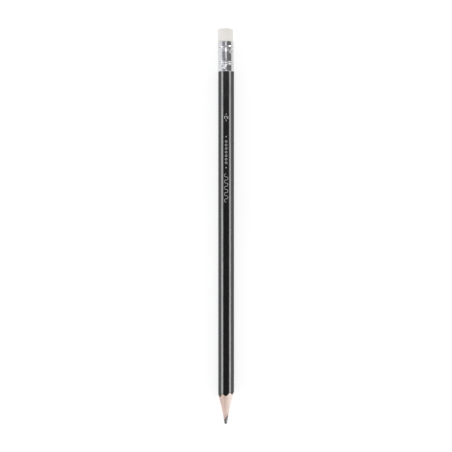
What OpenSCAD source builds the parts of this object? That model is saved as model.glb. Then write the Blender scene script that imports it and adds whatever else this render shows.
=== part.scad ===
// Hexagonal graphite pencil with a ferrule and an eraser, lying on one of its six flats.
// It lies along Y, with the eraser at +Y and the point at -Y, and stands on the plane Z = 0.
// Lengths along the pencil are stations, measured from the end of the eraser towards the point.

/* [Whole pencil] */
// Length from the end of the eraser to the point
pencil_l = 190; // [150:1:200]
// Width of the shank across two opposite flats, over the lacquer
flats_w = 6.9; // [6.7:0.05:7.1]
// Radius of the shank's six rounded edges
edge_r = 1; // [0.8:0.05:1.3]

/* [Lead and glue] */
// Diameter of the graphite lead
lead_d = 2; // [1.8:0.1:2.4]
// Thickness of the adhesive between the lead and its groove
bond_t = 0.05; // [0.03:0.01:0.1]
// Thickness of the glue line between the two slats
glue_t = 0.08; // [0.05:0.01:0.12]

/* [Coats] */
// Thickness of the undercoat on the wood
primer_t = 0.04; // [0.03:0.01:0.08]
// Thickness of the black lacquer
lacquer_t = 0.07; // [0.06:0.01:0.12]
// Width of the stripe along each edge, measured square across the edge
stripe_w = 0.95; // [0.8:0.05:1.2]
// Thickness of the stripes, which lie flush in the lacquer
stripe_t = 0.03; // [0.02:0.01:0.04]

/* [Sharpened end] */
// Radius of the cone at the point, before the point is rounded
cone_start_r = 0.58; // [0.4:0.02:0.7]
// Growth of the cone's radius per millimetre, at the point
cone_slope = 0.13; // [0.12:0.005:0.15]
// Growth of that slope, which makes the cone slightly hollow
cone_hollow = 0.0054; // [0.005:0.0002:0.006]
// How far the cone's axis is off the shank's axis, to the left
cone_shift = 0.2; // [0:0.05:0.3]
// Length over which the lead's point is rounded off
nose_l = 0.6; // [0.4:0.1:1]

/* [Ferrule] */
// Length of the ferrule
ferrule_l = 14.4; // [13:0.1:16]
// Outer diameter of the ferrule
ferrule_d = 7.6; // [7.5:0.05:7.8]
// Thickness of the ferrule's metal
ferrule_t = 0.28; // [0.26:0.01:0.3]
// Width of the ring pressed in round the eraser
eraser_ring_w = 1.2; // [1:0.1:2]
// Width of each of the two rings pressed in round the wood
wood_ring_w = 0.9; // [0.7:0.05:0.9]
// Depth of the rings
ring_depth = 0.12; // [0.08:0.02:0.24]
// Radius of the punch that made the crimp marks
punch_r = 0.8; // [0.6:0.1:1]
// Depth of the crimp marks
punch_depth = 0.3; // [0.2:0.01:0.3]
// Length of the turned end of the shank inside the ferrule
tenon_l = 6.6; // [6:0.1:7]
// Diameter of that turned end
tenon_d = 6.4; // [6.2:0.05:6.4]

/* [Eraser] */
// Length of the eraser that stands out of the ferrule
eraser_out_l = 6.5; // [4:0.1:8]
// Diameter of the eraser where it stands out
eraser_d = 7.3; // [7.14:0.02:7.5]
// Length of bare eraser between the ferrule and where the eraser swells to that diameter
eraser_neck_l = 0.15; // [0.1:0.05:0.3]
// Radius of the eraser's domed end
eraser_dome_r = 10; // [5:0.5:15]
// Radius of the worn edge around that end
eraser_edge_r = 0.5; // [0.3:0.1:1]

/* [Foil marks] */
// Thickness of the stamped foil
foil_t = 0.02; // [0.01:0.01:0.04]
// Width of the foil's lines
foil_line = 0.26; // [0.2:0.02:0.3]
// Station of the hardness grade mark
grade_at = 43; // [38:1:46]
// Station of the row of lozenges
lozenges_at = 59.65; // [58:0.05:61]
// Station of the wave band
wave_at = 76.75; // [75:0.05:80]

/* [Hidden] */
$fn = 64;
// Gap between pieces that are pushed into each other
ease = 0.02;
axis_h = max(ferrule_d, flats_w) / 2;
top_h = axis_h + flats_w / 2;
beyond = 2 * flats_w;

shoulder_at = eraser_out_l + ferrule_l;
tenon_at = shoulder_at - tenon_l;

coats_t = primer_t + lacquer_t;
wood_w = flats_w - 2 * coats_t;
wood_edge_r = edge_r - coats_t;
primer_w = flats_w - 2 * lacquer_t;
primer_edge_r = edge_r - lacquer_t;
under_stripe_w = flats_w - 2 * stripe_t;
under_stripe_edge_r = edge_r - stripe_t;
bore_d = lead_d + 2 * bond_t;

ferrule_r = ferrule_d / 2;
bore_r = ferrule_r - ferrule_t;
eraser_in_r = bore_r - ease;
// Rings, counted from the ferrule's open end: one grips the eraser and two grip the wood
eraser_ring_at = 2.8;
wood_rings_at = [9.95, 10.9];
ring_steps = 8;
// Crimp marks, three round the eraser and three round the wood
eraser_punch_at = 4.9;
wood_punch_at = 12.4;
eraser_punch_turn = 46;
wood_punch_turn = 106;

cone_step = 2.5;
cone_end = 20;
nose_steps = 6;
dome_steps = 5;
edge_steps = 5;

dot_d = 0.6;
dot_gap = 2.3;
lozenge_count = 7;
lozenge_pitch = 1.7;
lozenge_w = 1.3;
wave_count = 9;
wave_pitch = 1.5;
wave_h = 2;
numeral_w = 1.35;
numeral_h = 2;
dash_l = 0.8;
dash_gap = 0.4;

function ray(angle) = [cos(angle), sin(angle)];

// Radius of the sharpened cone at a distance from the point
function cone_r(d) = cone_start_r + cone_slope * d + cone_hollow * d * d;

// Depth of a pressed ring at t, where t runs from -1 to 1 across the ring
function ring_form(t) = ring_depth * (1 + cos(180 * t)) / 2;

// [station, depth] along one pressed ring
function ring_points(at, width) = [
    for (i = [0:ring_steps])
        let (t = 2 * i / ring_steps - 1)
        [at + t * width / 2, ring_form(t)]
];

// Outline of the shank: a hexagon with flats at the top and bottom and rounded edges
module shank_outline(flats, round_r) {
    hub_r = (flats / 2 - round_r) / cos(30);
    polygon([
        for (i = [0:5])
            for (turn = [-30, 30])
                hub_r * ray(60 * i) + round_r * ray(60 * i + turn)
    ]);
    for (i = [0:5])
        translate(hub_r * ray(60 * i))
            circle(round_r);
}

// Puts an outline's extrusion between two stations, with the outline's +Y upwards
module between(from, to) {
    translate([0, pencil_l / 2 - from, axis_h])
        rotate([90, 0, 0])
            linear_extrude(to - from)
                children();
}

// Turns an outline of [radius, station] points about the shank's axis
module turned() {
    translate([0, pencil_l / 2, axis_h])
        rotate([90, 0, 0])
            rotate_extrude()
                children();
}

// Keeps what the sharpener leaves of its children
module sharpened() {
    nose = [
        for (i = [0:nose_steps])
            let (d = nose_l * (1 - cos(90 * i / nose_steps)))
            [cone_r(d) * sin(acos(1 - d / nose_l)), pencil_l - d]
    ];
    cone = [
        for (d = [nose_l + cone_step : cone_step : cone_end])
            [cone_r(d), pencil_l - d]
    ];
    intersection() {
        children();
        translate([-cone_shift, 0, 0])
            turned()
                polygon(concat(nose, cone, [[beyond, pencil_l - cone_end], [beyond, 0], [0, 0]]));
    }
}

// One side of an outline, above (1) or below (-1) the glue line, with the groove for the lead
module slat_outline(side) {
    low = side > 0 ? glue_t / 2 : -glue_t / 2 - beyond;
    difference() {
        intersection() {
            children();
            translate([-beyond, low])
                square([2 * beyond, beyond]);
        }
        circle(d = bore_d);
    }
}

module slat(side) {
    color("#d9b8a8")
        sharpened() {
            union() {
                between(tenon_at, shoulder_at) slat_outline(side) circle(d = tenon_d);
                between(shoulder_at, pencil_l) slat_outline(side) shank_outline(wood_w, wood_edge_r);
            }
        }
}

// The strip of an outline that the glue line takes, to the left (-1) or right (1) of the lead
module glue_outline(side) {
    difference() {
        intersection() {
            children();
            translate([side > 0 ? 0 : -beyond, -glue_t / 2])
                square([beyond, glue_t]);
        }
        circle(d = bore_d);
    }
}

module slat_glue(side) {
    color("#c9a27c")
        sharpened() {
            union() {
                between(tenon_at, shoulder_at) glue_outline(side) circle(d = tenon_d);
                between(shoulder_at, pencil_l) glue_outline(side) shank_outline(wood_w, wood_edge_r);
            }
        }
}

module graphite_core() {
    color("#4a4a4c")
        sharpened()
            between(tenon_at, pencil_l)
                circle(d = lead_d);
}

module core_bond() {
    color("#8d8070")
        sharpened()
            between(tenon_at, pencil_l)
                difference() {
                    circle(d = bore_d);
                    circle(d = lead_d);
                }
}

module primer_coat() {
    color("#3a2a28")
        sharpened()
            between(shoulder_at, pencil_l)
                difference() {
                    shank_outline(primer_w, primer_edge_r);
                    shank_outline(wood_w, wood_edge_r);
                }
}

// What is cut away for a stripe: a strip across one edge, outside the depth of the stripe
module stripe_recess(i) {
    difference() {
        rotate(60 * i)
            translate([flats_w / 4, -stripe_w / 2])
                square([flats_w, stripe_w]);
        shank_outline(under_stripe_w, under_stripe_edge_r);
    }
}

module lacquer_coat() {
    color("#1c1c1e")
        sharpened()
            between(shoulder_at, pencil_l)
                difference() {
                    shank_outline(flats_w, edge_r);
                    shank_outline(primer_w, primer_edge_r);
                    for (i = [0:5])
                        stripe_recess(i);
                }
}

module edge_stripe(i) {
    color("#a9a9ab")
        sharpened()
            between(shoulder_at, pencil_l)
                intersection() {
                    shank_outline(flats_w, edge_r);
                    stripe_recess(i);
                }
}

// Balls on the two rings of three crimp marks, at the depth of the marks' metal
module punches(at, turn, radius) {
    for (i = [0:2])
        translate([0, pencil_l / 2 - eraser_out_l - at, axis_h])
            rotate([0, -turn - 120 * i, 0])
                translate([ferrule_r + punch_r - punch_depth, 0, 0])
                    sphere(radius);
}

module ferrule() {
    wall = concat(
        [[0, 0]],
        ring_points(eraser_ring_at, eraser_ring_w),
        [for (at = wood_rings_at) each ring_points(at, wood_ring_w)],
        [[ferrule_l, 0]]
    );
    last = len(wall) - 1;
    outside = [for (p = wall) [ferrule_r - p[1], eraser_out_l + p[0]]];
    inside = [for (i = [last:-1:0]) [bore_r - wall[i][1], eraser_out_l + wall[i][0]]];
    color("#b9b9bd")
        difference() {
            union() {
                turned() polygon(concat(outside, inside));
                intersection() {
                    union() {
                        punches(eraser_punch_at, eraser_punch_turn, punch_r + ferrule_t);
                        punches(wood_punch_at, wood_punch_turn, punch_r + ferrule_t);
                    }
                    between(eraser_out_l, shoulder_at) circle(ferrule_r - ferrule_t / 2);
                }
            }
            punches(eraser_punch_at, eraser_punch_turn, punch_r);
            punches(wood_punch_at, wood_punch_turn, punch_r);
        }
}

module eraser() {
    edge_in = eraser_d / 2 - eraser_edge_r;
    cap_r = eraser_dome_r - eraser_edge_r;
    meet = asin(edge_in / cap_r);
    side_at = eraser_dome_r - cap_r * cos(meet);
    dome = [
        for (i = [0:dome_steps])
            let (angle = meet * i / dome_steps)
            eraser_dome_r * [sin(angle), 1 - cos(angle)]
    ];
    edge = [
        for (i = [1:edge_steps])
            let (angle = meet + (90 - meet) * i / edge_steps)
            [edge_in + eraser_edge_r * sin(angle), side_at - eraser_edge_r * cos(angle)]
    ];
    grip = [
        for (p = ring_points(eraser_ring_at, eraser_ring_w))
            [eraser_in_r - p[1], eraser_out_l + p[0]]
    ];
    neck_at = eraser_out_l - eraser_neck_l;
    neck = [[eraser_d / 2, neck_at], [eraser_in_r, neck_at]];
    foot = [[eraser_in_r, tenon_at - ease], [0, tenon_at - ease]];
    color("#e2dfda")
        difference() {
            turned() polygon(concat(dome, edge, neck, grip, foot));
            punches(eraser_punch_at, eraser_punch_turn, punch_r + ferrule_t + ease);
        }
}

// Lays a foil outline on the top flat, where it reads from the point towards the eraser
module stamped(at) {
    color("#bdbdbf")
        translate([0, pencil_l / 2 - at, top_h])
            rotate(90)
                linear_extrude(foil_t)
                    children();
}

// The numeral 2, centred: a bowl, a slanting stroke from the bowl's end, and a foot
module numeral_two() {
    bowl_r = numeral_w / 2;
    bowl_y = numeral_h / 2 - bowl_r;
    bowl_end = ray(-40);
    foot_y = -numeral_h / 2;
    translate([0, bowl_y])
        intersection() {
            difference() {
                circle(bowl_r);
                circle(bowl_r - foil_line);
            }
            polygon([for (side = [[0, 0], bowl_end, ray(0), ray(90), ray(180)]) numeral_h * side]);
        }
    polygon([
        [0, bowl_y] + bowl_r * bowl_end,
        [0, bowl_y] + (bowl_r - foil_line) * bowl_end,
        [-bowl_r, foot_y + foil_line],
        [-bowl_r + foil_line, foot_y + foil_line / 2]
    ]);
    translate([-bowl_r, foot_y])
        square([numeral_w, foil_line]);
}

module foil_grade_mark() {
    stamped(grade_at) {
        numeral_two();
        for (side = [-1, 1])
            translate([side * (numeral_w + dash_l + 2 * dash_gap) / 2, 0])
                square([dash_l, foil_line], center = true);
    }
}

module foil_lozenges() {
    row_l = (lozenge_count - 1) * lozenge_pitch;
    stamped(lozenges_at) {
        for (i = [0 : lozenge_count - 1])
            translate([i * lozenge_pitch - row_l / 2, 0])
                difference() {
                    circle(d = lozenge_w, $fn = 4);
                    circle(d = lozenge_w - 2 * foil_line, $fn = 4);
                }
        for (side = [-1, 1])
            translate([side * (row_l / 2 + dot_gap), 0])
                circle(d = dot_d);
    }
}

// One arch of the wave: a half ring on two straight legs
module arch() {
    outer_r = (wave_pitch + foil_line) / 2;
    inner_r = (wave_pitch - foil_line) / 2;
    leg_h = wave_h / 2 - outer_r;
    translate([0, leg_h])
        intersection() {
            difference() {
                circle(outer_r);
                circle(inner_r);
            }
            translate([-outer_r, 0])
                square([2 * outer_r, outer_r]);
        }
    for (side = [-1, 1])
        translate([side * wave_pitch / 2 - foil_line / 2, 0])
            square([foil_line, leg_h]);
}

module foil_wave() {
    stamped(wave_at) {
        for (i = [0 : wave_count - 1])
            translate([(i - (wave_count - 1) / 2) * wave_pitch, 0])
                mirror([0, i % 2])
                    arch();
    }
}

graphite_core();
core_bond();
slat(1);  // casing_upper
slat(-1);  // casing_lower
slat_glue(-1);  // slat_glue_left
slat_glue(1);  // slat_glue_right
primer_coat();
lacquer_coat();
edge_stripe(0);  // edge_stripe_1
edge_stripe(1);  // edge_stripe_2
edge_stripe(2);  // edge_stripe_3
edge_stripe(3);  // edge_stripe_4
edge_stripe(4);  // edge_stripe_5
edge_stripe(5);  // edge_stripe_6
foil_grade_mark();
foil_lozenges();
foil_wave();
ferrule();
eraser();
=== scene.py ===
"""Looks of the graphite pencil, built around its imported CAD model.

Lengths are metres. The pencil lies along Y, with its point at -Y. A place on a cross-section is a
2-D Vector (x, z) from the shank's axis, and a turn is an angle in degrees about that axis, from
+X towards +Z. A depth is measured inwards from the outside of the lacquer or of the ferrule.
"""
import math

import bmesh
import bpy
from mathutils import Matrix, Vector, noise


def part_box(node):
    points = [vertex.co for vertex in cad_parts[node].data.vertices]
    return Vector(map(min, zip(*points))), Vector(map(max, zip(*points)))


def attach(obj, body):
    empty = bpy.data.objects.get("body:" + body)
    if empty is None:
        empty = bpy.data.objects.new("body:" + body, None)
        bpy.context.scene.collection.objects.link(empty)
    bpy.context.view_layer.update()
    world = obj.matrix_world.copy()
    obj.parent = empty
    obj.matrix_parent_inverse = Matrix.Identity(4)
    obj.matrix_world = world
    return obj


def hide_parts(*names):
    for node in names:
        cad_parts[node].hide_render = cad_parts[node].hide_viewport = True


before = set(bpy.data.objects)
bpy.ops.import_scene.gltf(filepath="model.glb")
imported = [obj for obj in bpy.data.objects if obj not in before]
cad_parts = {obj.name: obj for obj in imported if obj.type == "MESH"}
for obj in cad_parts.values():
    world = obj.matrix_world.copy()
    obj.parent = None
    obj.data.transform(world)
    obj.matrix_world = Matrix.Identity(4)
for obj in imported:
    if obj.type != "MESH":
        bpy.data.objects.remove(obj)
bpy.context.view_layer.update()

MM = 0.001
HEX_COS = math.cos(math.radians(30))

# ---------------------------------------------------------------- sizes from the CAD model
ferrule_low, ferrule_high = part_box("ferrule")
lacquer_low, lacquer_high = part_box("lacquer_coat")
primer_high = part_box("primer_coat")[1]
wood_low, wood_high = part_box("casing_upper")
stripe_low, stripe_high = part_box("edge_stripe_1")
lead_low, lead_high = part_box("graphite_core")
bond_low, bond_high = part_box("core_bond")
eraser_low, eraser_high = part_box("eraser")

AXIS_Z = (ferrule_low.z + ferrule_high.z) / 2
FERRULE_R = (ferrule_high.x - ferrule_low.x) / 2
SHOULDER_Y = ferrule_low.y
MOUTH_Y = ferrule_high.y
TENON_Y = lead_high.y
TIP_Y = lead_low.y
LEAD_R = (lead_high.x - lead_low.x) / 2
BORE_R = (bond_high.x - bond_low.x) / 2
GLUE_T = 2 * (wood_low.z - AXIS_Z)

FLAT_R = (lacquer_high.z - lacquer_low.z) / 2
CORNER_R = stripe_high.x
EDGE_R = (FLAT_R - CORNER_R * HEX_COS) / (1 - HEX_COS)
HUB_R = CORNER_R - EDGE_R
LACQUER_T = FLAT_R - (primer_high.z - AXIS_Z)
COATS_T = FLAT_R - (wood_high.z - AXIS_Z)
# Half the angle that a stripe takes up on its rounded edge
STRIPE_TURN = math.degrees(math.asin((stripe_high.z - stripe_low.z) / 2 / EDGE_R))

ERASER_R = (eraser_high.x - eraser_low.x) / 2
ERASER_Y = eraser_high.y
ERASER_FOOT_Y = eraser_low.y

# ---------------------------------------------------------------- sizes that boxes can't give
STRIPE_T = 0.03 * MM
TENON_R = 3.2 * MM
FERRULE_T = 0.28 * MM
RING_DEPTH = 0.12 * MM
# (distance from the ferrule's mouth, width, how far it wavers to and fro) of each pressed ring:
# the first grips the eraser, and the other two grip the wood
RINGS = [
    (2.8 * MM, 1.2 * MM, 0.2 * MM),
    (9.95 * MM, 0.9 * MM, -0.2 * MM),
    (10.9 * MM, 0.9 * MM, -0.2 * MM),
]
# The rings waver twice round the ferrule, as the sine of twice the turn plus this
RING_PHASE = math.radians(-177)
# Radius of the eraser inside the ferrule, where the ferrule isn't pressed in
ERASER_GRIP_R = 3.5 * MM
# Length of bare eraser between the ferrule and where the eraser swells
ERASER_NECK_L = 0.15 * MM
ERASER_EDGE_R = 0.5 * MM
ERASER_DOME_R = 10 * MM
# The cone's radius at a distance d from the point is START + SLOPE * d + HOLLOW * d * d
CONE_START_R = 0.58 * MM
CONE_SLOPE = 0.13
CONE_HOLLOW = 0.0054 / MM
CONE_AXIS = Vector((-0.2 * MM, 0))
NOSE_L = 0.6 * MM


# ---------------------------------------------------------------- geometry helpers
# Points closer than this are one point, and an edge with a greater angle than this is sharp
WELD = 0.0001 * MM
SHARP_TURN = 32


def ray(turn):
    return Vector((math.cos(math.radians(turn)), math.sin(math.radians(turn))))


def solid_point(place, y):
    """The 3-D point at a place on the cross-section at y."""
    return Vector((place.x, y, AXIS_Z + place.y))


def smooth(low, high, value):
    """0 below low, 1 above high, and a smooth change between them."""
    t = min(max((value - low) / (high - low), 0), 1)
    return t * t * (3 - 2 * t)


def wander(point, pitch_x, pitch_y, pitch_z, seed=0):
    """Smooth noise from about -1 to 1, which changes over about the given lengths."""
    spot = Vector((point.x / pitch_x + seed, point.y / pitch_y, point.z / pitch_z - seed))
    return noise.noise(spot)


def cone_r(d):
    """Radius of the sharpened cone at a distance d from the point."""
    return CONE_START_R + CONE_SLOPE * d + CONE_HOLLOW * d * d


def cone_d(radius):
    """Distance from the point at which the cone has that radius."""
    rest = CONE_START_R - radius
    return (math.sqrt(CONE_SLOPE ** 2 - 4 * CONE_HOLLOW * rest) - CONE_SLOPE) / (2 * CONE_HOLLOW)


def cut_y(place):
    """Where the cone cuts the line along the pencil through a place on its cross-section."""
    return TIP_Y + cone_d((place - CONE_AXIS).length)


def ring_hit(direction, radius):
    """Where a ray from the cone's axis meets a circle round the shank's axis."""
    along = CONE_AXIS.dot(direction)
    reach = math.sqrt(along ** 2 - CONE_AXIS.length_squared + radius ** 2) - along
    return CONE_AXIS + reach * direction


def skin(name, rows, rows_closed=False, ladder_caps=False):
    """A mesh over rows of points. Each row is a closed ring, and a ring of one point is a pole.

    rows_closed joins the last row to the first. Otherwise the end rows are capped: with one face,
    or with a ladder of quads when the ring is a thin band.
    """
    mesh = bmesh.new()
    rings = [[mesh.verts.new(point) for point in row] for row in rows]
    pairs = list(zip(rings, rings[1:]))
    if rows_closed:
        pairs.append((rings[-1], rings[0]))
    for ring, next_ring in pairs:
        count = max(len(ring), len(next_ring))
        for i in range(count):
            j = (i + 1) % count
            corners = [ring[i % len(ring)], ring[j % len(ring)],
                       next_ring[j % len(next_ring)], next_ring[i % len(next_ring)]]
            mesh.faces.new(list(dict.fromkeys(corners)))
    if not rows_closed:
        for ring in (rings[0], rings[-1]):
            if len(ring) == 1:
                continue
            if ladder_caps:
                for i in range(len(ring) // 2 - 1):
                    mesh.faces.new([ring[i], ring[i + 1], ring[-i - 2], ring[-i - 1]])
            else:
                mesh.faces.new(ring)
    bmesh.ops.remove_doubles(mesh, verts=mesh.verts, dist=WELD)
    bmesh.ops.recalc_face_normals(mesh, faces=mesh.faces)
    if mesh.calc_volume(signed=True) < 0:
        bmesh.ops.reverse_faces(mesh, faces=mesh.faces)
    for face in mesh.faces:
        face.smooth = True
    for edge in mesh.edges:
        edge.smooth = edge.calc_face_angle(0) < math.radians(SHARP_TURN)
    data = bpy.data.meshes.new(name)
    mesh.to_mesh(data)
    mesh.free()
    piece = bpy.data.objects.new(name, data)
    bpy.context.scene.collection.objects.link(piece)
    return piece


def place_piece(piece, slot, material, *nodes):
    """Dresses a piece, and lets it stand for its CAD nodes on the pencil's one body."""
    piece.data.materials.append(material)
    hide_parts(*nodes)
    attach(piece, "root")


# ---------------------------------------------------------------- material helpers
def node(tree, kind, sockets=None, **settings):
    """Adds a shader node. sockets gives its inputs, each a value or another node's output."""
    made = tree.nodes.new(kind)
    for name, value in settings.items():
        setattr(made, name, value)
    for name, value in (sockets or {}).items():
        if isinstance(value, bpy.types.NodeSocket):
            tree.links.new(value, made.inputs[name])
        else:
            made.inputs[name].default_value = value
    return made


def blank_material(name, **sockets):
    """A material with one Principled shader, whose plain values are given with _ for a space."""
    material = bpy.data.materials.new(name)
    material.use_nodes = True
    shader = material.node_tree.nodes["Principled BSDF"]
    for socket, value in sockets.items():
        shader.inputs[socket.replace("_", " ")].default_value = value
    return material, material.node_tree, shader


def grain_place(tree, stretch=(1, 1, 1)):
    """The surface's own coordinates in millimetres, with each axis multiplied by stretch."""
    coordinates = node(tree, "ShaderNodeTexCoord").outputs["Object"]
    factors = [part / MM for part in stretch]
    scaled = node(tree, "ShaderNodeVectorMath", {0: coordinates, 1: factors}, operation="MULTIPLY")
    return scaled.outputs[0]


def noise_fac(tree, place, scale, detail=2, roughness=0.5, distortion=0):
    """Noise from 0 to 1, mostly near 0.5. Where place isn't stretched, scale is waves per mm."""
    sockets = {"Vector": place, "Scale": scale, "Detail": detail, "Roughness": roughness,
               "Distortion": distortion}
    return node(tree, "ShaderNodeTexNoise", sockets).outputs["Fac"]


def ramp(tree, fac, *stops):
    """Colours (or greys) by position: each stop is (position, colour)."""
    made = node(tree, "ShaderNodeValToRGB", {"Fac": fac})
    elements = made.color_ramp.elements
    while len(elements) < len(stops):
        elements.new(0.5)
    for element, (position, colour) in zip(elements, stops):
        element.position = position
        element.color = (colour,) * 3 + (1,) if isinstance(colour, (int, float)) else (*colour, 1)
    return made.outputs["Color"]


def remap(tree, value, from_low, from_high, to_low, to_high):
    """Takes from_low..from_high to to_low..to_high, and holds the ends outside that range."""
    sockets = {"Value": value, "From Min": from_low, "From Max": from_high, "To Min": to_low,
               "To Max": to_high}
    return node(tree, "ShaderNodeMapRange", sockets).outputs["Result"]


def calculate(tree, operation, *values):
    """One step of arithmetic on numbers or other nodes' outputs."""
    return node(tree, "ShaderNodeMath", dict(enumerate(values)), operation=operation).outputs[0]


def mix_colour(tree, fac, first, second):
    """The first colour where fac is 0, and the second where it is 1."""
    made = node(tree, "ShaderNodeMix", data_type="RGBA")
    for index, value in ((0, fac), (6, first), (7, second)):
        if isinstance(value, bpy.types.NodeSocket):
            tree.links.new(value, made.inputs[index])
        elif index == 0:
            made.inputs[index].default_value = value
        else:
            made.inputs[index].default_value = (*value, 1)
    return made.outputs[2]


def bump(tree, height, depth, below=None):
    """A normal from a height of 0 to 1 that stands for depth metres, on top of the normal below."""
    sockets = {"Height": height, "Distance": depth, "Strength": 1.0}
    if below is not None:
        sockets["Normal"] = below
    return node(tree, "ShaderNodeBump", sockets).outputs["Normal"]


# ---------------------------------------------------------------- materials
def lacquer_material():
    """Black gloss lacquer with orange peel, and matt rubs along the pencil."""
    material, tree, shader = blank_material("black_lacquer", IOR=1.46)
    place = grain_place(tree)
    along = grain_place(tree, (4, 0.08, 4))
    mottle = noise_fac(tree, place, 0.35, detail=3)
    rub = noise_fac(tree, along, 3, detail=4, roughness=0.65)
    colour = ramp(tree, mottle, (0.3, (0.0034, 0.0034, 0.0038)), (0.7, (0.0050, 0.0050, 0.0054)))
    rubbed = remap(tree, rub, 0.56, 0.75, 0, 0.12)
    base = remap(tree, mottle, 0.3, 0.7, 0.1, 0.17)
    peel = noise_fac(tree, place, 1.1, detail=1)
    fine = noise_fac(tree, place, 9, detail=2)
    normal = bump(tree, fine, 0.0006 * MM, bump(tree, peel, 0.006 * MM))
    tree.links.new(colour, shader.inputs["Base Color"])
    tree.links.new(calculate(tree, "ADD", base, rubbed), shader.inputs["Roughness"])
    tree.links.new(normal, shader.inputs["Normal"])
    return material


def stripe_material():
    """Silver-grey paint with glinting flakes."""
    material, tree, shader = blank_material("silver_stripe_paint", Metallic=0.35, IOR=1.5)
    place = grain_place(tree)
    flake = node(tree, "ShaderNodeTexVoronoi", {"Vector": place, "Scale": 28}).outputs["Color"]
    glint = node(tree, "ShaderNodeSeparateColor", {"Color": flake}).outputs[0]
    cloud = noise_fac(tree, grain_place(tree, (1, 0.12, 1)), 1.5, detail=4)
    body = ramp(tree, cloud, (0.3, (0.36, 0.36, 0.37)), (0.7, (0.46, 0.46, 0.465)))
    colour = mix_colour(tree, remap(tree, glint, 0.75, 1, 0, 0.35), body, (0.72, 0.72, 0.73))
    tree.links.new(colour, shader.inputs["Base Color"])
    tree.links.new(remap(tree, glint, 0, 1, 0.28, 0.46), shader.inputs["Roughness"])
    tree.links.new(bump(tree, glint, 0.0015 * MM), shader.inputs["Normal"])
    return material


def foil_material(name, wear):
    """Hot-stamped foil. wear runs from 0, fresh, to about 0.2, where half of it is rubbed dull."""
    material, tree, shader = blank_material(name, Metallic=0.25, IOR=1.5)
    place = grain_place(tree)
    worn = noise_fac(tree, place, 6, detail=4, roughness=0.7)
    colour = ramp(tree, worn, (0.28 + wear, 0.12), (0.42 + wear, 0.50), (0.7 + wear, 0.64))
    tree.links.new(colour, shader.inputs["Base Color"])
    tree.links.new(remap(tree, worn, 0.3, 0.7, 0.5, 0.3), shader.inputs["Roughness"])
    tree.links.new(bump(tree, worn, 0.004 * MM), shader.inputs["Normal"])
    return material


def primer_material():
    """Dull brown undercoat."""
    material, tree, shader = blank_material("dark_brown_undercoat", IOR=1.5)
    worn = noise_fac(tree, grain_place(tree), 4, detail=3)
    colour = ramp(tree, worn, (0.3, (0.035, 0.016, 0.013)), (0.7, (0.085, 0.035, 0.028)))
    tree.links.new(colour, shader.inputs["Base Color"])
    tree.links.new(remap(tree, worn, 0.3, 0.7, 0.45, 0.65), shader.inputs["Roughness"])
    tree.links.new(bump(tree, worn, 0.004 * MM), shader.inputs["Normal"])
    return material


def glue_material(name, dark, light):
    """A cloudy film of glue, between two colours."""
    material, tree, shader = blank_material(name, IOR=1.48)
    cloud = noise_fac(tree, grain_place(tree), 3, detail=3)
    colour = ramp(tree, cloud, (0.3, dark), (0.7, light))
    tree.links.new(colour, shader.inputs["Base Color"])
    tree.links.new(remap(tree, cloud, 0.3, 0.7, 0.4, 0.6), shader.inputs["Roughness"])
    tree.links.new(bump(tree, cloud, 0.003 * MM), shader.inputs["Normal"])
    return material


def wood_material():
    """Knife-cut wood: growth bands, fibres, short dark pores, graphite dust, painted light on the
    right.
    """
    material, tree, shader = blank_material("casing_wood", IOR=1.5)
    bands = noise_fac(tree, grain_place(tree, (1, 0.05, 0.35)), 1.0, detail=3, distortion=0.6)
    fibres = noise_fac(tree, grain_place(tree, (1, 0.04, 1)), 7, detail=4, roughness=0.7)
    pores = noise_fac(tree, grain_place(tree, (1, 0.06, 1)), 11, detail=3, roughness=0.6)
    blush = noise_fac(tree, grain_place(tree, (1, 0.3, 1)), 0.45, detail=2)
    colour = ramp(tree, bands, (0.32, (0.59, 0.40, 0.335)), (0.5, (0.68, 0.51, 0.44)),
                  (0.68, (0.73, 0.58, 0.51)))
    colour = mix_colour(tree, remap(tree, blush, 0.5, 0.75, 0, 0.5), colour, (0.64, 0.42, 0.36))
    # Painted light: the wood is mixed towards a pale colour further to the right
    x_mm = node(tree, "ShaderNodeSeparateXYZ", {"Vector": grain_place(tree)}).outputs["X"]
    colour = mix_colour(tree, remap(tree, x_mm, -0.6, 1.8, 0, 0.85), colour, (0.95, 0.85, 0.79))
    colour = mix_colour(tree, remap(tree, fibres, 0.52, 0.72, 0, 0.4), colour, (0.52, 0.32, 0.25))
    colour = mix_colour(tree, remap(tree, pores, 0.60, 0.72, 0, 0.38), colour, (0.34, 0.20, 0.16))
    dust = graphite_dust(tree)
    colour = mix_colour(tree, dust, colour, (0.20, 0.19, 0.19))
    height = calculate(tree, "SUBTRACT", fibres, remap(tree, pores, 0.6, 0.7, 0, 0.6))
    tree.links.new(colour, shader.inputs["Base Color"])
    tree.links.new(remap(tree, fibres, 0.3, 0.7, 0.5, 0.72), shader.inputs["Roughness"])
    tree.links.new(bump(tree, height, 0.02 * MM), shader.inputs["Normal"])
    return material


def graphite_dust(tree):
    """How much graphite the sharpener rubbed into the wood: most beside the lead, in streaks."""
    centred = node(tree, "ShaderNodeVectorMath",
                   {0: grain_place(tree), 1: (0, 0, -AXIS_Z / MM)}, operation="ADD").outputs[0]
    across = node(tree, "ShaderNodeVectorMath", {0: centred, 1: (1, 0, 1)}, operation="MULTIPLY")
    from_axis = node(tree, "ShaderNodeVectorMath", {0: across.outputs[0]}, operation="LENGTH")
    reach = from_axis.outputs["Value"]
    bore_mm = BORE_R / MM
    near = remap(tree, reach, bore_mm, bore_mm + 0.4, 0.65, 0)
    streaks = noise_fac(tree, grain_place(tree, (1, 0.12, 1)), 3.5, detail=4, roughness=0.65)
    rubbed = calculate(tree, "MULTIPLY", near, remap(tree, streaks, 0.35, 0.65, 0.15, 1))
    far = remap(tree, reach, bore_mm, bore_mm + 1.5, 0.15, 0)
    specks = remap(tree, streaks, 0.58, 0.7, 0, 1)
    return calculate(tree, "MAXIMUM", rubbed, calculate(tree, "MULTIPLY", far, specks))


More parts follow.
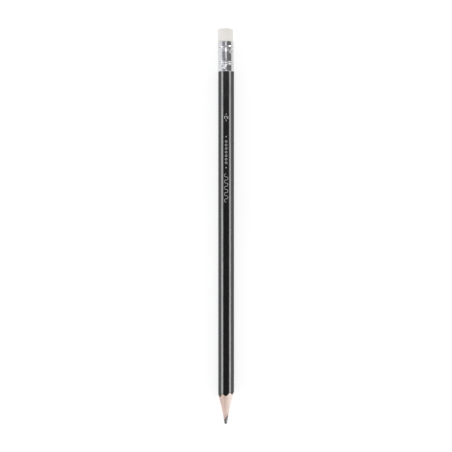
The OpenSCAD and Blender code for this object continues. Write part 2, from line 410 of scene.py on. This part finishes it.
def graphite_material():
    """Fired graphite and clay, with the sharpener's turning marks."""
    material, tree, shader = blank_material("graphite_lead", Metallic=0.8, IOR=1.8)
    place = grain_place(tree)
    clay = noise_fac(tree, place, 14, detail=4, roughness=0.6)
    turning = noise_fac(tree, grain_place(tree, (0.5, 9, 0.5)), 2.0, detail=3)
    colour = ramp(tree, clay, (0.3, (0.115, 0.115, 0.122)), (0.7, (0.175, 0.175, 0.183)))
    tree.links.new(colour, shader.inputs["Base Color"])
    tree.links.new(remap(tree, turning, 0.3, 0.7, 0.14, 0.24), shader.inputs["Roughness"])
    normal = bump(tree, turning, 0.004 * MM, bump(tree, clay, 0.003 * MM))
    tree.links.new(normal, shader.inputs["Normal"])
    return material


def ferrule_material():
    """Bright drawn aluminium with scuffs, and painted shade and grime in its rings."""
    material, tree, shader = blank_material("drawn_aluminium", Metallic=1.0)
    place = grain_place(tree)
    drawn = noise_fac(tree, grain_place(tree, (6, 0.1, 6)), 2.5, detail=5, roughness=0.7)
    cloud = noise_fac(tree, place, 0.9, detail=3)
    scuffs = noise_fac(tree, grain_place(tree, (1.2, 3, 1.2)), 4, detail=5, roughness=0.75)
    colour = ramp(tree, cloud, (0.3, (0.635, 0.635, 0.66)), (0.7, (0.70, 0.70, 0.71)))
    colour = mix_colour(tree, remap(tree, scuffs, 0.6, 0.72, 0, 0.35), colour, (0.52, 0.52, 0.53))
    # Painted shade, with some grime, darkens the bottoms of the pressed rings
    colour = mix_colour(tree, ring_shade_and_grime(tree, place, scuffs), colour, (0.16, 0.155, 0.15))
    base = remap(tree, cloud, 0.3, 0.7, 0.10, 0.17)
    scuffed = remap(tree, scuffs, 0.55, 0.75, 0, 0.15)
    tree.links.new(colour, shader.inputs["Base Color"])
    tree.links.new(calculate(tree, "ADD", base, scuffed), shader.inputs["Roughness"])
    normal = bump(tree, scuffs, 0.0012 * MM, bump(tree, drawn, 0.002 * MM))
    tree.links.new(normal, shader.inputs["Normal"])
    return material


# Reach of the painted shade and grime to each side of a ring's bottom, as a share of the ring's width
RING_SHADE_SHARE = 0.2


def ring_shade_and_grime(tree, place, patches):
    """How much painted shade and grime lies at a place in the bottoms of the ferrule's pressed rings.
    """
    parts = node(tree, "ShaderNodeSeparateXYZ", {"Vector": place})
    rise = calculate(tree, "SUBTRACT", parts.outputs["Z"], AXIS_Z / MM)
    turn = calculate(tree, "ARCTAN2", rise, parts.outputs["X"])
    swing = calculate(tree, "SINE", calculate(tree, "MULTIPLY_ADD", turn, 2, RING_PHASE))
    total = 0
    for at, width, waver in RINGS:
        middle = calculate(tree, "MULTIPLY_ADD", swing, -waver / MM, (MOUTH_Y - at) / MM)
        off = calculate(tree, "ABSOLUTE", calculate(tree, "SUBTRACT", parts.outputs["Y"], middle))
        line = remap(tree, off, 0, RING_SHADE_SHARE * width / MM, 0.85, 0)
        total = calculate(tree, "MAXIMUM", total, line)
    return calculate(tree, "MULTIPLY", total, remap(tree, patches, 0.35, 0.6, 0.45, 1))


def eraser_material():
    """Off-white vinyl with fine crumbs, darker at its end, with painted shade on its left side."""
    material, tree, shader = blank_material("white_eraser", IOR=1.5, Specular_IOR_Level=0.15)
    place = grain_place(tree)
    cloud = noise_fac(tree, place, 0.55, detail=3)
    crumb = noise_fac(tree, place, 12, detail=4, roughness=0.7)
    colour = ramp(tree, cloud, (0.3, (0.83, 0.80, 0.76)), (0.7, (0.855, 0.83, 0.795)))
    colour = mix_colour(tree, remap(tree, crumb, 0.62, 0.74, 0, 0.25), colour, (0.62, 0.58, 0.54))
    end_mm = ERASER_Y / MM
    parts = node(tree, "ShaderNodeSeparateXYZ", {"Vector": place})
    # Darker towards the end, and painted shade on the left side, darker further left
    darker_end = remap(tree, parts.outputs["Y"], end_mm - 1.3, end_mm - 0.2, 0, 0.45)
    painted_left_shade = remap(tree, parts.outputs["X"], -3.9, -1.5, 0.9, 0)
    end_dark_and_painted_shade = calculate(tree, "MAXIMUM", darker_end, painted_left_shade)
    patchy = remap(tree, noise_fac(tree, place, 0.8, detail=3), 0.4, 0.62, 0.25, 1)
    # Mixes in the darker end and the painted shade on the left side
    colour = mix_colour(tree, calculate(tree, "MULTIPLY", end_dark_and_painted_shade, patchy), colour, (0.74, 0.71, 0.68))
    tree.links.new(colour, shader.inputs["Base Color"])
    tree.links.new(remap(tree, crumb, 0.3, 0.7, 0.72, 0.9), shader.inputs["Roughness"])
    tree.links.new(bump(tree, crumb, 0.012 * MM), shader.inputs["Normal"])
    return material


# ---------------------------------------------------------------- the shank's outline
ARC_STEPS = 16
FLAT_STEPS = 14


def edge_samples(i):
    """(hub, normal) pairs across stripe i. outline_place gives the outline's points from them."""
    hub = HUB_R * ray(60 * i)
    turns = [60 * i + STRIPE_TURN * (2 * k / ARC_STEPS - 1) for k in range(ARC_STEPS + 1)]
    return [(hub, ray(turn)) for turn in turns]


def field_samples(i):
    """(hub, normal) pairs across the black field after stripe i: a flat and what rounds it off."""
    first, last = HUB_R * ray(60 * i), HUB_R * ray(60 * i + 60)
    flat = [(first.lerp(last, k / FLAT_STEPS), ray(60 * i + 30)) for k in range(FLAT_STEPS + 1)]
    return [(first, ray(60 * i + STRIPE_TURN)), *flat, (last, ray(60 * i + 60 - STRIPE_TURN))]


def outline_place(sample, depth):
    """The point of the shank's outline for a (hub, normal) pair, at a depth in the coats."""
    hub, normal = sample
    return hub + (EDGE_R - depth) * normal


ROUND_SAMPLES = [sample for i in range(6) for sample in edge_samples(i) + field_samples(i)[1:-1]]


# ---------------------------------------------------------------- coats and stripes
# Where the rows of a coat lie, from 0 at the ferrule to 1 at the cone: closer near the chipped rim
COAT_SHARES = [k / 80 for k in range(78)] + [0.98, 0.985, 0.99, 0.994, 0.997, 0.999, 1.0]
RIPPLE_DEPTH = 0.008 * MM
CHIP_L = 0.1 * MM


def ripple(point):
    """Depth of the brushed-out waves in the lacquer, from 0 to RIPPLE_DEPTH."""
    long_wave = wander(point, 5 * MM, 16 * MM, 5 * MM)
    short_wave = wander(point, 1.6 * MM, 4 * MM, 1.6 * MM, seed=7)
    return RIPPLE_DEPTH * min(max(0.5 + 0.35 * long_wave + 0.15 * short_wave, 0), 1)


def chip(point):
    """How far the sharpener broke the coat's rim back from the cone."""
    coarse = wander(point, 0.9 * MM, 40 * MM, 0.9 * MM, seed=3)
    fine = wander(point, 0.22 * MM, 40 * MM, 0.22 * MM, seed=11)
    return CHIP_L * max(0, 0.25 + coarse + 0.6 * fine)


def coat_line(sample, depth, outside):
    """Points along one line of a coat, from the ferrule to the cone."""
    place = outline_place(sample, depth)
    end_y = cut_y(place)
    if outside:
        end_y += chip(solid_point(place, end_y))
    line = []
    for share in COAT_SHARES:
        y = SHOULDER_Y + share * (end_y - SHOULDER_Y)
        here = place
        if outside:
            here = outline_place(sample, depth + ripple(solid_point(place, y)))
        line.append(solid_point(here, y))
    return line


def coat(name, outer, inner, outside):
    """A closed coat between two lists of (sample, depth)."""
    outer_lines = [coat_line(sample, depth, outside) for sample, depth in outer]
    inner_lines = [coat_line(sample, depth, False) for sample, depth in inner]
    rows = [[line[k] for line in outer_lines] for k in range(len(COAT_SHARES))]
    rows += [[line[k] for line in inner_lines] for k in reversed(range(len(COAT_SHARES)))]
    return skin(name, rows, rows_closed=True)


def lacquer():
    """The lacquer, with a shallow recess under each stripe."""
    outer = []
    for i in range(6):
        outer += [(sample, STRIPE_T) for sample in edge_samples(i)]
        outer += [(sample, 0) for sample in field_samples(i)]
    inner = [(sample, LACQUER_T) for sample, _ in outer]
    return coat("lacquer", outer, inner, True)


def undercoat():
    outer = [(sample, LACQUER_T) for sample in ROUND_SAMPLES]
    inner = [(sample, COATS_T) for sample in ROUND_SAMPLES]
    return coat("undercoat", outer, inner, False)


def stripe(i):
    """The paint that fills one recess of the lacquer."""
    top = [coat_line(sample, 0, True) for sample in edge_samples(i)]
    under = [coat_line(sample, STRIPE_T, True) for sample in edge_samples(i)]
    rows = [
        [line[k] for line in top] + [line[k] for line in reversed(under)]
        for k in range(len(COAT_SHARES))
    ]
    return skin(f"stripe_{i + 1}", rows, ladder_caps=True)


# ---------------------------------------------------------------- wooden slats
CONE_ROWS = 90
# The marks on the cut wood: fibres, hairs, and the ripples that wind round it where the knife shook
FIBRE_DEPTH = 0.011 * MM
HAIR_DEPTH = 0.005 * MM
CHATTER_DEPTH = 0.002 * MM
CHATTER_PITCH = 0.55 * MM


def cut_marks(point, share):
    """How far the cut wood stands off the true cone, at a share of the way from coats to lead."""
    fibre = wander(point, 0.28 * MM, 5 * MM, 0.28 * MM)
    hair = wander(point, 0.09 * MM, 1.6 * MM, 0.09 * MM, seed=5)
    turn = math.atan2(point.z - AXIS_Z, point.x - CONE_AXIS.x)
    chatter = math.sin(math.tau * point.y / CHATTER_PITCH + 3 * turn)
    held = smooth(0, 0.04, share) * (1 - smooth(0.95, 1, share))
    return held * (FIBRE_DEPTH * fibre + HAIR_DEPTH * hair + CHATTER_DEPTH * chatter)


def slat_path(sample):
    """One closed line round a slat's section along the pencil, in a plane through the cone's axis."""
    wood = outline_place(sample, COATS_T)
    spread = wood - CONE_AXIS
    direction = spread.normalized()
    tenon = ring_hit(direction, TENON_R)
    bore = ring_hit(direction, BORE_R)
    path = [
        solid_point(tenon, TENON_Y), solid_point(tenon, SHOULDER_Y),
        solid_point(wood, SHOULDER_Y), solid_point(wood, cut_y(wood)),
    ]
    bore_reach = (bore - CONE_AXIS).length
    for k in range(1, CONE_ROWS):
        reach = spread.length + (bore_reach - spread.length) * k / CONE_ROWS
        place = CONE_AXIS + reach * direction
        y = cut_y(place)
        place += cut_marks(solid_point(place, y), k / CONE_ROWS) * direction
        path.append(solid_point(place, y))
    path += [solid_point(bore, cut_y(bore)), solid_point(bore, TENON_Y)]
    return path


def slat(name, side):
    """The slat above (1) or below (-1) the glue line."""
    half = len(ROUND_SAMPLES) // 2
    # The glue line runs from the middle of stripe 0 to the middle of the stripe opposite
    start = ARC_STEPS // 2 if side > 0 else ARC_STEPS // 2 + half
    rows = []
    for k in range(half + 1):
        path = slat_path(ROUND_SAMPLES[(start + k) % len(ROUND_SAMPLES)])
        for point in path:
            point.z = AXIS_Z + side * max(side * (point.z - AXIS_Z), GLUE_T / 2)
        rows.append(path)
    return skin(name, rows)


# ---------------------------------------------------------------- lead
LEAD_TURNS = 120
LEAD_ROWS = 36
NOSE_ROWS = 10
# The flat rubbed on the lead by writing: its turn about the cone's axis, and half its width
LEAD_FLAT_TURN = 58
LEAD_FLAT_HALF = 24
SOFT_FLAT_DEPTH = 0.016 * MM
TURNING_DEPTH = 0.0015 * MM
TURNING_PITCH = 0.16 * MM


def flat_share(turn):
    """Share of the cone's radius that the flat leaves at a turn about the cone's axis."""
    off = math.radians((turn - LEAD_FLAT_TURN + 180) % 360 - 180)
    half = math.radians(LEAD_FLAT_HALF)
    return math.cos(half) / math.cos(off) if abs(off) < half else 1


def lead_marks(point):
    """How far the lead's surface stands off the true cone: soft flats and fine turning lines."""
    flats = wander(point, 0.5 * MM, 2.2 * MM, 0.5 * MM, seed=21)
    lines = math.sin(math.tau * point.y / TURNING_PITCH)
    return SOFT_FLAT_DEPTH * flats + TURNING_DEPTH * lines


def lead():
    """The lead, with its blunt rounded point."""
    directions = [ray(360 * k / LEAD_TURNS) for k in range(LEAD_TURNS)]
    edges = [ring_hit(direction, LEAD_R) for direction in directions]
    cuts = [flat_share(360 * k / LEAD_TURNS) for k in range(LEAD_TURNS)]
    rows = [
        [solid_point(Vector((0, 0)), TENON_Y)],
        [solid_point(edge, TENON_Y) for edge in edges],
        [solid_point(edge, cut_y(edge)) for edge in edges],
    ]
    nose_r = cone_r(NOSE_L)
    for k in range(1, LEAD_ROWS + 1):
        share = k / LEAD_ROWS
        row = []
        for direction, edge, cut in zip(directions, edges, cuts):
            reach = (edge - CONE_AXIS).length * (1 - share) + nose_r * share
            y = TIP_Y + cone_d(reach)
            here = solid_point(CONE_AXIS + reach * direction, y)
            reach *= 1 - (1 - cut) * smooth(0, 0.3, share)
            reach += lead_marks(here) * smooth(0, 0.1, share)
            row.append(solid_point(CONE_AXIS + reach * direction, y))
        rows.append(row)
    for k in range(NOSE_ROWS - 1, 0, -1):
        turn = math.radians(90 * k / NOSE_ROWS)
        d = NOSE_L * (1 - math.cos(turn))
        row = []
        for direction, cut in zip(directions, cuts):
            here = solid_point(CONE_AXIS + cone_r(d) * math.sin(turn) * direction, TIP_Y + d)
            reach = (cone_r(d) * cut + lead_marks(here)) * math.sin(turn)
            row.append(solid_point(CONE_AXIS + reach * direction, TIP_Y + d))
        rows.append(row)
    rows.append([solid_point(CONE_AXIS, TIP_Y)])
    return skin("lead", rows)


# ---------------------------------------------------------------- ferrule
FERRULE_L = MOUTH_Y - SHOULDER_Y
FERRULE_TURNS = 168
FERRULE_ROWS = 150
INSIDE_ROWS = 24
LIP_STEPS = 6
CRIMP_DEPTH = 0.3 * MM
# (distance from the mouth, turn, length, width, slant in degrees) of each crimp mark
CRIMPS = [
    *((4.9 * MM, 46 + 120 * k, 1.7 * MM, 0.8 * MM, 40) for k in range(3)),
    *((12.4 * MM, 106 + 120 * k, 1.5 * MM, 1.0 * MM, -35) for k in range(3)),
]
# The rim raised round a mark: its height as a share of the mark's depth, and its distance and
# width as shares of the mark's half length and half width
RIM_SHARE = 0.12
RIM_AT = 1.7
RIM_W = 0.4
DENT_DEPTH = 0.012 * MM
CRUMPLE_DEPTH = 0.03 * MM
# Distances from the mouth at which the crumple starts, is full, starts to fade and ends
CRUMPLE_SPAN = (11.2 * MM, 11.8 * MM, 13.6 * MM, 14.2 * MM)
# How far the wall is drawn in below the eraser's ring, and the distances from the mouth at which
# that starts, is full and ends
NECK_DEPTH = 0.085 * MM
NECK_SPAN = (2.9 * MM, 3.2 * MM, 5.4 * MM)
# Length at each end of the ferrule over which dents, crumple and neck fade out
LEVEL_END_L = 0.6 * MM
# Sideways shift of the ferrule at its shoulder and at its mouth
FERRULE_OFF = (-0.05 * MM, -0.22 * MM)


def lean_x(y):
    """How far the crimped ferrule, and the eraser in it, sit off the shank's axis at y."""
    return FERRULE_OFF[0] + (FERRULE_OFF[1] - FERRULE_OFF[0]) * (y - SHOULDER_Y) / FERRULE_L


def ring_depth(s, turn):
    """Depth of the pressed rings at s from the mouth. The tool pinched them in at two sides."""
    total = 0
    for at, width, waver in RINGS:
        t = 2 * (s - at - waver * math.sin(2 * math.radians(turn) + RING_PHASE)) / width
        if abs(t) < 1:
            total += RING_DEPTH * (1 + math.cos(math.pi * t)) / 2
    return total


def crimp_depth(s, turn):
    """Depth of the crimp marks: slanting oval dents with a slightly raised rim."""
    total = 0
    for at, centre, length, width, slant in CRIMPS:
        around = FERRULE_R * math.radians((turn - centre + 180) % 360 - 180)
        down = s - at
        if abs(around) > 2 * length or abs(down) > 2 * length:
            continue
        lean = math.radians(slant)
        u = (around * math.cos(lean) + down * math.sin(lean)) / (length / 2)
        v = (down * math.cos(lean) - around * math.sin(lean)) / (width / 2)
        far = math.hypot(u, v)
        total += math.exp(-far ** 3) - RIM_SHARE * math.exp(-((far - RIM_AT) / RIM_W) ** 2)
    return CRIMP_DEPTH * total


def ferrule_depth(s, turn):
    """How far the ferrule's wall is pressed in at s from the mouth."""
    around = solid_point(FERRULE_R * ray(turn), s)
    dents = DENT_DEPTH * (1 + wander(around, 2.2 * MM, 3.5 * MM, 2.2 * MM, seed=31))
    start, full, fade, end = CRUMPLE_SPAN
    crumple = CRUMPLE_DEPTH * max(0, wander(around, 0.9 * MM, 1.1 * MM, 0.9 * MM, seed=17))
    crumple *= smooth(start, full, s) * (1 - smooth(fade, end, s))
    start, full, end = NECK_SPAN
    necked = NECK_DEPTH * smooth(start, full, s) * (1 - smooth(full, end, s))
    held = smooth(0, LEVEL_END_L, s) * smooth(0, LEVEL_END_L, FERRULE_L - s)
    return ring_depth(s, turn) + crimp_depth(s, turn) + held * (dents + crumple + necked)


def ferrule():
    """The ferrule: a thin sleeve with a rounded lip at each end, swept round in closed rows."""
    lip_r = FERRULE_T / 2
    run = FERRULE_L - 2 * lip_r
    lip_turns = [math.pi * k / LIP_STEPS for k in range(1, LIP_STEPS)]
    path = [(lip_r, lip_r + run * k / FERRULE_ROWS) for k in range(FERRULE_ROWS + 1)]
    path += [(lip_r * math.cos(a), FERRULE_L - lip_r + lip_r * math.sin(a)) for a in lip_turns]
    path += [(-lip_r, lip_r + run * k / INSIDE_ROWS) for k in range(INSIDE_ROWS, -1, -1)]
    path += [(-lip_r * math.cos(a), lip_r - lip_r * math.sin(a)) for a in lip_turns]
    rows = []
    for k in range(FERRULE_TURNS):
        turn = 360 * k / FERRULE_TURNS
        row = []
        for off, s in path:
            reach = FERRULE_R - lip_r + off - ferrule_depth(s, turn)
            place = reach * ray(turn) + Vector((lean_x(MOUTH_Y - s), 0))
            row.append(solid_point(place, MOUTH_Y - s))
        rows.append(row)
    return skin("ferrule_sleeve", rows, rows_closed=True)


# ---------------------------------------------------------------- eraser
ERASER_TURNS = 120
# Further sideways shift of the eraser just above the ferrule and at its end
ERASER_OFF = (-0.14 * MM, -0.08 * MM)
DOME_ROWS = 14
EDGE_ROWS = 12
SIDE_ROWS = 40
GRIP_ROWS = 40
LUMP_DEPTH = 0.02 * MM
PIT_DEPTH = 0.05 * MM
# How far the rubbed edge is worn back, and between which distances from the end that fades out
WEAR_DEPTH = 0.12 * MM
WEAR_FADE = (0.6 * MM, 1.6 * MM)


def eraser_profile():
    """(radius, distance from the eraser's end) from the middle of the end to the ferrule's mouth."""
    edge_in = ERASER_R - ERASER_EDGE_R
    meet = math.asin(edge_in / (ERASER_DOME_R - ERASER_EDGE_R))
    side_from = ERASER_DOME_R - (ERASER_DOME_R - ERASER_EDGE_R) * math.cos(meet)
    out_l = ERASER_Y - MOUTH_Y
    profile = []
    for k in range(DOME_ROWS):
        turn = meet * k / DOME_ROWS
        profile.append((ERASER_DOME_R * math.sin(turn), ERASER_DOME_R * (1 - math.cos(turn))))
    for k in range(EDGE_ROWS):
        turn = meet + (math.pi / 2 - meet) * k / EDGE_ROWS
        radius = edge_in + ERASER_EDGE_R * math.sin(turn)
        profile.append((radius, side_from - ERASER_EDGE_R * math.cos(turn)))
    for k in range(SIDE_ROWS + 1):
        s = side_from + (out_l - side_from) * k / SIDE_ROWS
        drawn_in = smooth(out_l - 3 * ERASER_NECK_L, out_l - 0.3 * ERASER_NECK_L, s)
        profile.append((ERASER_R + (ERASER_GRIP_R - ERASER_R) * drawn_in, s))
    return profile


def gripped_rows():
    """The eraser inside the ferrule, pressed everywhere into the shape of the ferrule's wall."""
    rows = []
    for k in range(1, GRIP_ROWS + 1):
        s = (MOUTH_Y - ERASER_FOOT_Y) * k / GRIP_ROWS
        middle = Vector((lean_x(MOUTH_Y - s), 0))
        row = []
        for i in range(ERASER_TURNS):
            turn = 360 * i / ERASER_TURNS
            place = middle + (ERASER_GRIP_R - ferrule_depth(s, turn)) * ray(turn)
            row.append(solid_point(place, MOUTH_Y - s))
        rows.append(row)
    rows.append([solid_point(middle, ERASER_FOOT_Y)])
    return rows


def eraser():
    """The eraser, which leans a little on its way out of the ferrule."""
    out_l = ERASER_Y - MOUTH_Y
    near_off, far_off = ERASER_OFF
    slant = (far_off - near_off) / out_l
    rows = []
    for radius, s in eraser_profile():
        if radius == 0:
            rows.append([solid_point(Vector((lean_x(ERASER_Y) + far_off, 0)), ERASER_Y)])
            continue
        lifted = max(0, out_l - s)
        exposed = smooth(0, 0.4 * MM, lifted)
        row = []
        for k in range(ERASER_TURNS):
            direction = ray(360 * k / ERASER_TURNS)
            point = solid_point(radius * direction, ERASER_Y - s)
            lumps = wander(point, 2.5 * MM, 2.5 * MM, 2.5 * MM, seed=41)
            pits = max(0, wander(point, 0.5 * MM, 0.5 * MM, 0.5 * MM, seed=43) - 0.35)
            rubbed = max(0, wander(point, 1.8 * MM, 9 * MM, 1.8 * MM, seed=47))
            rubbed *= 1 - smooth(*WEAR_FADE, s)
            inward = exposed * (LUMP_DEPTH * (1 + lumps) + PIT_DEPTH * pits + WEAR_DEPTH * rubbed)
            place = (radius - min(inward, radius)) * direction
            place.x += lean_x(ERASER_Y - s) + exposed * (near_off + slant * lifted)
            y = ERASER_Y - s - slant * place.x * lifted / out_l
            row.append(solid_point(place, y))
        rows.append(row)
    return skin("eraser_plug", rows + gripped_rows())


# ---------------------------------------------------------------- the pencil
lacquer_paint = lacquer_material()
stripe_paint = stripe_material()
wood_paint = wood_material()
glue_paint = glue_material("wood_glue", (0.34, 0.22, 0.16), (0.48, 0.33, 0.25))
bond_paint = glue_material("lead_adhesive", (0.16, 0.13, 0.11), (0.24, 0.20, 0.17))
foil_paint = foil_material("silver_foil", 0)
worn_foil_paint = foil_material("worn_silver_foil", 0.13)

place_piece(lacquer(), "lacquer", lacquer_paint, "lacquer_coat")
place_piece(undercoat(), "primer", primer_material(), "primer_coat")
for stripe_index in range(6):
    place_piece(stripe(stripe_index), "stripe", stripe_paint, f"edge_stripe_{stripe_index + 1}")
place_piece(slat("slat_upper", 1), "wood", wood_paint, "casing_upper")
place_piece(slat("slat_lower", -1), "wood", wood_paint, "casing_lower")
place_piece(lead(), "graphite", graphite_material(), "graphite_core")
place_piece(ferrule(), "ferrule", ferrule_material(), "ferrule")
place_piece(eraser(), "eraser", eraser_material(), "eraser")

for kept_node, kept_paint in (
    ("foil_grade_mark", foil_paint), ("foil_lozenges", foil_paint), ("foil_wave", worn_foil_paint),
    ("slat_glue_left", glue_paint), ("slat_glue_right", glue_paint), ("core_bond", bond_paint),
):
    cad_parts[kept_node].material_slots[0].material = kept_paint


# ---------------------------------------------------------------- floor, light and camera
FLOOR_HALF = 3


def floor():
    """A pale table, lit a little from within like a product photographer's light table."""
    mesh = bmesh.new()
    bmesh.ops.create_grid(mesh, x_segments=8, y_segments=8, size=FLOOR_HALF)
    data = bpy.data.meshes.new("floor")
    mesh.to_mesh(data)
    mesh.free()
    table = bpy.data.objects.new("floor", data)
    bpy.context.scene.collection.objects.link(table)
    material, tree, shader = blank_material("pale_table", Roughness=0.9, Emission_Strength=0.70)
    tint = noise_fac(tree, grain_place(tree), 0.01, detail=2)
    tree.links.new(ramp(tree, tint, (0.3, 0.34), (0.7, 0.36)), shader.inputs["Base Color"])
    shader.inputs["Emission Color"].default_value = (1, 1, 1, 1)
    data.materials.append(material)


def soft_light(name, compass, elevation, distance, width, height, radiance, colour=(1, 1, 1)):
    """A rectangular light aimed at the pencil. compass is from +X towards +Y, in degrees.

    Its power gives it the same brightness, radiance, whatever its size.
    """
    compass, elevation = math.radians(compass), math.radians(elevation)
    level = math.cos(elevation)
    out = Vector((level * math.cos(compass), level * math.sin(compass), math.sin(elevation)))
    data = bpy.data.lights.new(name, "AREA")
    data.shape = "RECTANGLE"
    data.size, data.size_y = width, height
    data.energy = radiance * math.pi * width * height
    data.color = colour
    light = bpy.data.objects.new(name, data)
    light.location = out * distance
    light.rotation_mode = "QUATERNION"
    light.rotation_quaternion = (-out).to_track_quat("-Z", "Y")
    light.visible_camera = False
    bpy.context.scene.collection.objects.link(light)


def surroundings():
    """A studio that is dim overhead and bright towards its walls, further up on the left (-X).

    Its left is a little cool and its right a little warm.
    """
    world = bpy.data.worlds.new("studio")
    world.use_nodes = True
    tree = world.node_tree
    background = tree.nodes["Background"]
    direction = node(tree, "ShaderNodeTexCoord").outputs["Generated"]
    parts = node(tree, "ShaderNodeSeparateXYZ", {"Vector": direction})
    across, along = parts.outputs["X"], parts.outputs["Y"]
    upright = (0.237, 0, 1)
    height = node(tree, "ShaderNodeVectorMath", {0: direction, 1: upright}, operation="DOT_PRODUCT")
    overhead = remap(tree, height.outputs["Value"], 0.2, 0.55, 0, 1)
    wall = remap(tree, across, -0.8, 0.8, 1.06, 0.52)
    middle = remap(tree, across, -0.8, 0.8, 0.36, 0.15)
    far_side = remap(tree, along, 0.09, 0.22, 0, 0.45)
    near_side = remap(tree, along, -0.09, -0.35, 0, 0.42)
    ceiling = calculate(tree, "ADD", middle, calculate(tree, "ADD", far_side, near_side))
    sockets = {"Factor": overhead, "A": wall, "B": ceiling}
    brightness = node(tree, "ShaderNodeMix", sockets, data_type="FLOAT").outputs["Result"]
    tree.links.new(brightness, background.inputs["Strength"])
    rightness = remap(tree, across, -0.4, 0.4, 0, 1)
    tint = mix_colour(tree, rightness, (0.96, 0.97, 1.0), (1.0, 0.99, 0.965))
    tree.links.new(tint, background.inputs["Color"])
    bpy.context.scene.world = world


def camera():
    """Straight above the middle of the pencil, with the eraser at the top of the picture."""
    seen_width = 0.2169
    height = 1.2
    off_x = -0.07 * MM
    data = bpy.data.cameras.new("camera")
    data.sensor_width = 36
    data.lens = data.sensor_width * height / seen_width
    data.clip_start, data.clip_end = 0.01, 20
    made = bpy.data.objects.new("camera", data)
    made.location = (off_x, 0, AXIS_Z + height)
    bpy.context.scene.collection.objects.link(made)
    bpy.context.scene.camera = made


floor()
surroundings()
soft_light("far_wall", compass=105, elevation=26, distance=1.5, width=2.0, height=0.7, radiance=0.7)
soft_light("near_wall", compass=-78, elevation=27, distance=1.5, width=2.2, height=0.7, radiance=1.25)
soft_light("right_tube", compass=-18, elevation=27, distance=1.5, width=0.13, height=1.2, radiance=8,
           colour=(1.0, 0.985, 0.96))
soft_light("left_tube", compass=201, elevation=22, distance=1.5, width=0.09, height=1.0, radiance=4.5)
soft_light("strip", compass=84, elevation=65, distance=1.4, width=0.46, height=0.9, radiance=1.5,
           colour=(0.97, 0.975, 1.0))
camera()
bpy.context.scene.view_settings.view_transform = "Standard"
